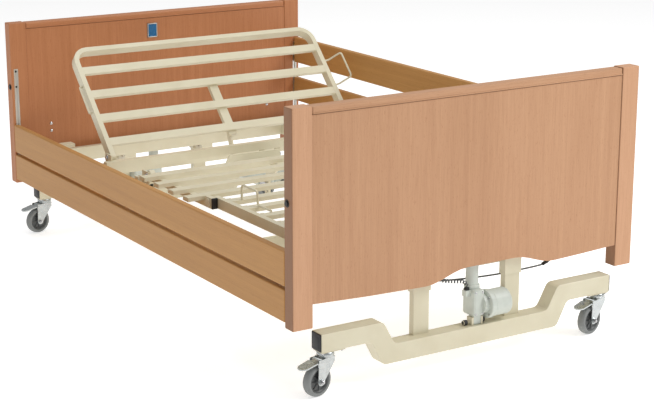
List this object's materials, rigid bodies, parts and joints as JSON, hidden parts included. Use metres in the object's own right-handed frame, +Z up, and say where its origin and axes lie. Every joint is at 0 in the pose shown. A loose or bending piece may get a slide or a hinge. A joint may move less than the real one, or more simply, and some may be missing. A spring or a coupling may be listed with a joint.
{
  "type": "adjustable hospital bed",
  "caption": "Electric adjustable care bed with wooden end boards, sliding side rails, a slatted backrest, thigh and calf platform, and a column lift at each end on braked castors.",
  "frame": {"origin": "on the floor under the middle of the bed", "axes": "+Z up, +Y towards the head end, +X towards the side whose rails are raised"},
  "size_m": [1.339, 2.26, 0.9],
  "materials": {
    "beech": "satin lacquered beech",
    "cream_paint": "semi-gloss powder coat",
    "aluminium": "satin",
    "zinc": "zinc plated",
    "actuator_grey": "fine matt",
    "steel": "bright",
    "black_plastic": "matt",
    "grey_rubber": "matt",
    "cable_grey": "satin",
    "badge_blue": "gloss"
  },
  "bodies": {
    "foot_base": {"castor_beam_foot": "cream_paint", "lift_motor_foot": "actuator_grey", "curly_cable": "cable_grey"},
    "bed_frame": {"frame_end_foot": "cream_paint", "frame_end_head": "cream_paint", "frame_side_left": "cream_paint", "frame_side_right": "cream_paint", "frame_cross_back": "cream_paint", "frame_cross_calf": "cream_paint", "seat_frame": "cream_paint", "platform_drive": "actuator_grey", "badge": "badge_blue", "frame_cable": "cable_grey", "panel_foot": "beech", "cap_foot": "beech", "post_foot_left": "beech", "track_foot_left": "aluminium", "post_foot_right": "beech", "track_foot_right": "aluminium", "panel_head": "beech", "cap_head": "beech", "post_head_left": "beech", "track_head_left": "aluminium", "post_head_right": "beech", "track_head_right": "aluminium"},
    "head_base": {"castor_beam_head": "cream_paint", "lift_motor_head": "actuator_grey"},
    "castor_foot_left_fork": {"castor_foot_left_fork": "zinc"},
    "castor_foot_left_wheel": {"castor_foot_left_wheel": "grey_rubber"},
    "castor_foot_left_pedal": {"castor_foot_left_pedal": "zinc"},
    "castor_foot_right_fork": {"castor_foot_right_fork": "zinc"},
    "castor_foot_right_wheel": {"castor_foot_right_wheel": "grey_rubber"},
    "castor_foot_right_pedal": {"castor_foot_right_pedal": "zinc"},
    "button_foot_left": {"button_foot_left": "black_plastic"},
    "button_foot_right": {"button_foot_right": "black_plastic"},
    "castor_head_left_fork": {"castor_head_left_fork": "zinc"},
    "castor_head_left_wheel": {"castor_head_left_wheel": "grey_rubber"},
    "castor_head_left_pedal": {"castor_head_left_pedal": "zinc"},
    "castor_head_right_fork": {"castor_head_right_fork": "zinc"},
    "castor_head_right_wheel": {"castor_head_right_wheel": "grey_rubber"},
    "castor_head_right_pedal": {"castor_head_right_pedal": "zinc"},
    "button_head_left": {"button_head_left": "black_plastic"},
    "button_head_right": {"button_head_right": "black_plastic"},
    "rail_upper_left": {"rail_upper_left": "beech"},
    "rail_lower_left": {"rail_lower_left": "beech"},
    "rail_upper_right": {"rail_upper_right": "beech"},
    "rail_lower_right": {"rail_lower_right": "beech"},
    "backrest": {"backrest": "cream_paint", "retainer_back_left": "cream_paint", "retainer_back_right": "cream_paint"},
    "thigh_section": {"thigh_section": "cream_paint"},
    "calf_section": {"calf_section": "cream_paint", "retainer_calf_left": "cream_paint", "retainer_calf_right": "cream_paint"},
    "push_rod_back": {"push_rod_back": "steel"},
    "push_rod_knee": {"push_rod_knee": "steel"}
  },
  "joints": [
    {"name": "bed_lift", "type": "slide", "parent": "foot_base", "child": "bed_frame", "axis": [0, 0, 1], "range_m": [-0.05, 0.36], "deforming": ["curly_cable"]},
    {"name": "head_lift", "type": "slide", "parent": "bed_frame", "child": "head_base", "axis": [0, 0, -1], "range_m": [-0.0501, 0.3601]},
    {"name": "castor_foot_left_swivel", "type": "hinge", "parent": "foot_base", "child": "castor_foot_left_fork", "pos_m": [-0.539, -1.0815, 0.13], "axis": [0, 0, 1], "continuous": true},
    {"name": "castor_foot_left_axle", "type": "hinge", "parent": "castor_foot_left_fork", "child": "castor_foot_left_wheel", "pos_m": [-0.57421, -1.08898, 0.05], "axis": [0.2079, -0.9781, 0], "continuous": true},
    {"name": "castor_foot_left_brake", "type": "hinge", "parent": "castor_foot_left_fork", "child": "castor_foot_left_pedal", "pos_m": [-0.57519, -1.08919, 0.112], "axis": [0.2079, -0.9781, 0], "range_deg": [-18, 0]},
    {"name": "castor_foot_right_swivel", "type": "hinge", "parent": "foot_base", "child": "castor_foot_right_fork", "pos_m": [0.539, -1.0815, 0.13], "axis": [0, 0, 1], "continuous": true},
    {"name": "castor_foot_right_axle", "type": "hinge", "parent": "castor_foot_right_fork", "child": "castor_foot_right_wheel", "pos_m": [0.50379, -1.08898, 0.05], "axis": [0.2079, -0.9781, 0], "continuous": true},
    {"name": "castor_foot_right_brake", "type": "hinge", "parent": "castor_foot_right_fork", "child": "castor_foot_right_pedal", "pos_m": [0.50281, -1.08919, 0.112], "axis": [0.2079, -0.9781, 0], "range_deg": [-18, 0]},
    {"name": "button_foot_left_press", "type": "slide", "parent": "bed_frame", "child": "button_foot_left", "axis": [1, 0, 0], "range_m": [0, 0.004], "stiffness_N_per_m": 400},
    {"name": "button_foot_right_press", "type": "slide", "parent": "bed_frame", "child": "button_foot_right", "axis": [-1, 0, 0], "range_m": [0, 0.004], "stiffness_N_per_m": 400},
    {"name": "castor_head_left_swivel", "type": "hinge", "parent": "head_base", "child": "castor_head_left_fork", "pos_m": [-0.539, 1.0815, 0.13], "axis": [0, 0, 1], "continuous": true},
    {"name": "castor_head_left_axle", "type": "hinge", "parent": "castor_head_left_fork", "child": "castor_head_left_wheel", "pos_m": [-0.57421, 1.07402, 0.05], "axis": [0.2079, -0.9781, 0], "continuous": true},
    {"name": "castor_head_left_brake", "type": "hinge", "parent": "castor_head_left_fork", "child": "castor_head_left_pedal", "pos_m": [-0.57519, 1.07381, 0.112], "axis": [0.2079, -0.9781, 0], "range_deg": [-18, 0]},
    {"name": "castor_head_right_swivel", "type": "hinge", "parent": "head_base", "child": "castor_head_right_fork", "pos_m": [0.539, 1.0815, 0.13], "axis": [0, 0, 1], "continuous": true},
    {"name": "castor_head_right_axle", "type": "hinge", "parent": "castor_head_right_fork", "child": "castor_head_right_wheel", "pos_m": [0.50379, 1.07402, 0.05], "axis": [0.2079, -0.9781, 0], "continuous": true},
    {"name": "castor_head_right_brake", "type": "hinge", "parent": "castor_head_right_fork", "child": "castor_head_right_pedal", "pos_m": [0.50281, 1.07381, 0.112], "axis": [0.2079, -0.9781, 0], "range_deg": [-18, 0]},
    {"name": "button_head_left_press", "type": "slide", "parent": "bed_frame", "child": "button_head_left", "axis": [1, 0, 0], "range_m": [0, 0.004], "stiffness_N_per_m": 400},
    {"name": "button_head_right_press", "type": "slide", "parent": "bed_frame", "child": "button_head_right", "axis": [-1, 0, 0], "range_m": [0, 0.004], "stiffness_N_per_m": 400},
    {"name": "rail_upper_left_slide", "type": "slide", "parent": "bed_frame", "child": "rail_upper_left", "axis": [0, 0, 1], "range_m": [0, 0.243]},
    {"name": "rail_lower_left_slide", "type": "slide", "parent": "bed_frame", "child": "rail_lower_left", "axis": [0, 0, 1], "range_m": [0, 0.1872]},
    {"name": "rail_upper_right_slide", "type": "slide", "parent": "bed_frame", "child": "rail_upper_right", "axis": [0, 0, 1], "range_m": [-0.243, 0]},
    {"name": "rail_lower_right_slide", "type": "slide", "parent": "bed_frame", "child": "rail_lower_right", "axis": [0, 0, 1], "range_m": [-0.1872, 0]},
    {"name": "backrest_hinge", "type": "hinge", "parent": "bed_frame", "child": "backrest", "pos_m": [0, 0.43, 0.437], "axis": [1, 0, 0], "range_deg": [-46, 24]},
    {"name": "thigh_hinge", "type": "hinge", "parent": "bed_frame", "child": "thigh_section", "pos_m": [0, 0.1, 0.437], "axis": [-1, 0, 0], "range_deg": [0, 25]},
    {"name": "knee_hinge", "type": "hinge", "parent": "thigh_section", "child": "calf_section", "pos_m": [0, -0.348, 0.437], "axis": [-1, 0, 0], "range_deg": [-43.7, 0]},
    {"name": "push_rod_back_slide", "type": "slide", "parent": "bed_frame", "child": "push_rod_back", "axis": [0, 1, 0], "range_m": [-0.0891, 0.0465]},
    {"name": "push_rod_knee_slide", "type": "slide", "parent": "bed_frame", "child": "push_rod_knee", "axis": [0, -1, 0], "range_m": [0, 0.0459]}
  ],
  "couplings": [
    {"joint": "head_lift", "follows": "bed_lift", "ratio": 1},
    {"joint": "rail_lower_left_slide", "follows": "rail_upper_left_slide", "ratio": 0.77},
    {"joint": "rail_lower_right_slide", "follows": "rail_upper_right_slide", "ratio": 0.77},
    {"joint": "knee_hinge", "follows": "thigh_hinge", "ratio": -1.747},
    {"joint": "push_rod_back_slide", "follows": "backrest_hinge", "m_per_rad": 0.1108},
    {"joint": "push_rod_knee_slide", "follows": "thigh_hinge", "m_per_rad": 0.105}
  ]
}
